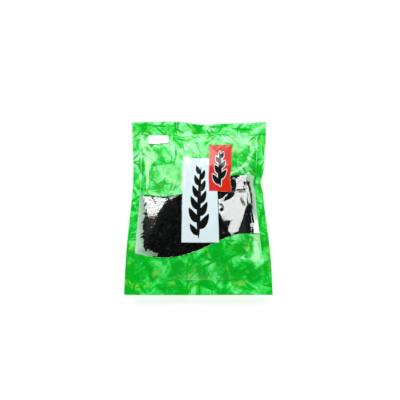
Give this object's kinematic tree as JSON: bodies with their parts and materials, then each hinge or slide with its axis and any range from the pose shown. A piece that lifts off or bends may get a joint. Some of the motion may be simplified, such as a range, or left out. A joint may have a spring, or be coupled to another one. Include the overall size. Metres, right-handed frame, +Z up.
{
  "type": "pouch of dried cut wakame",
  "caption": "Sealed flat film pouch filled with dried cut wakame seaweed, printed front with a clear wavy window, lying on its back.",
  "frame": {"origin": "on the surface that the pouch lies on, under the middle of its outline", "axes": "+X across the pouch to the right of its front, +Y from the bottom seal to the top seal, +Z up out of the front"},
  "size_m": [0.1499, 0.195, 0.0266],
  "materials": {
    "printed_film": "glossy printed film, mottled green like fibrous paper",
    "clear_film": "glossy clear film",
    "dried_wakame": "dry near-black green flakes"
  },
  "bodies": {
    "root": {"front_film": "printed_film", "window_film_left": "clear_film", "window_film_right": "clear_film", "back_film": "printed_film", "wakame_flakes": "dried_wakame"}
  },
  "joints": []
}
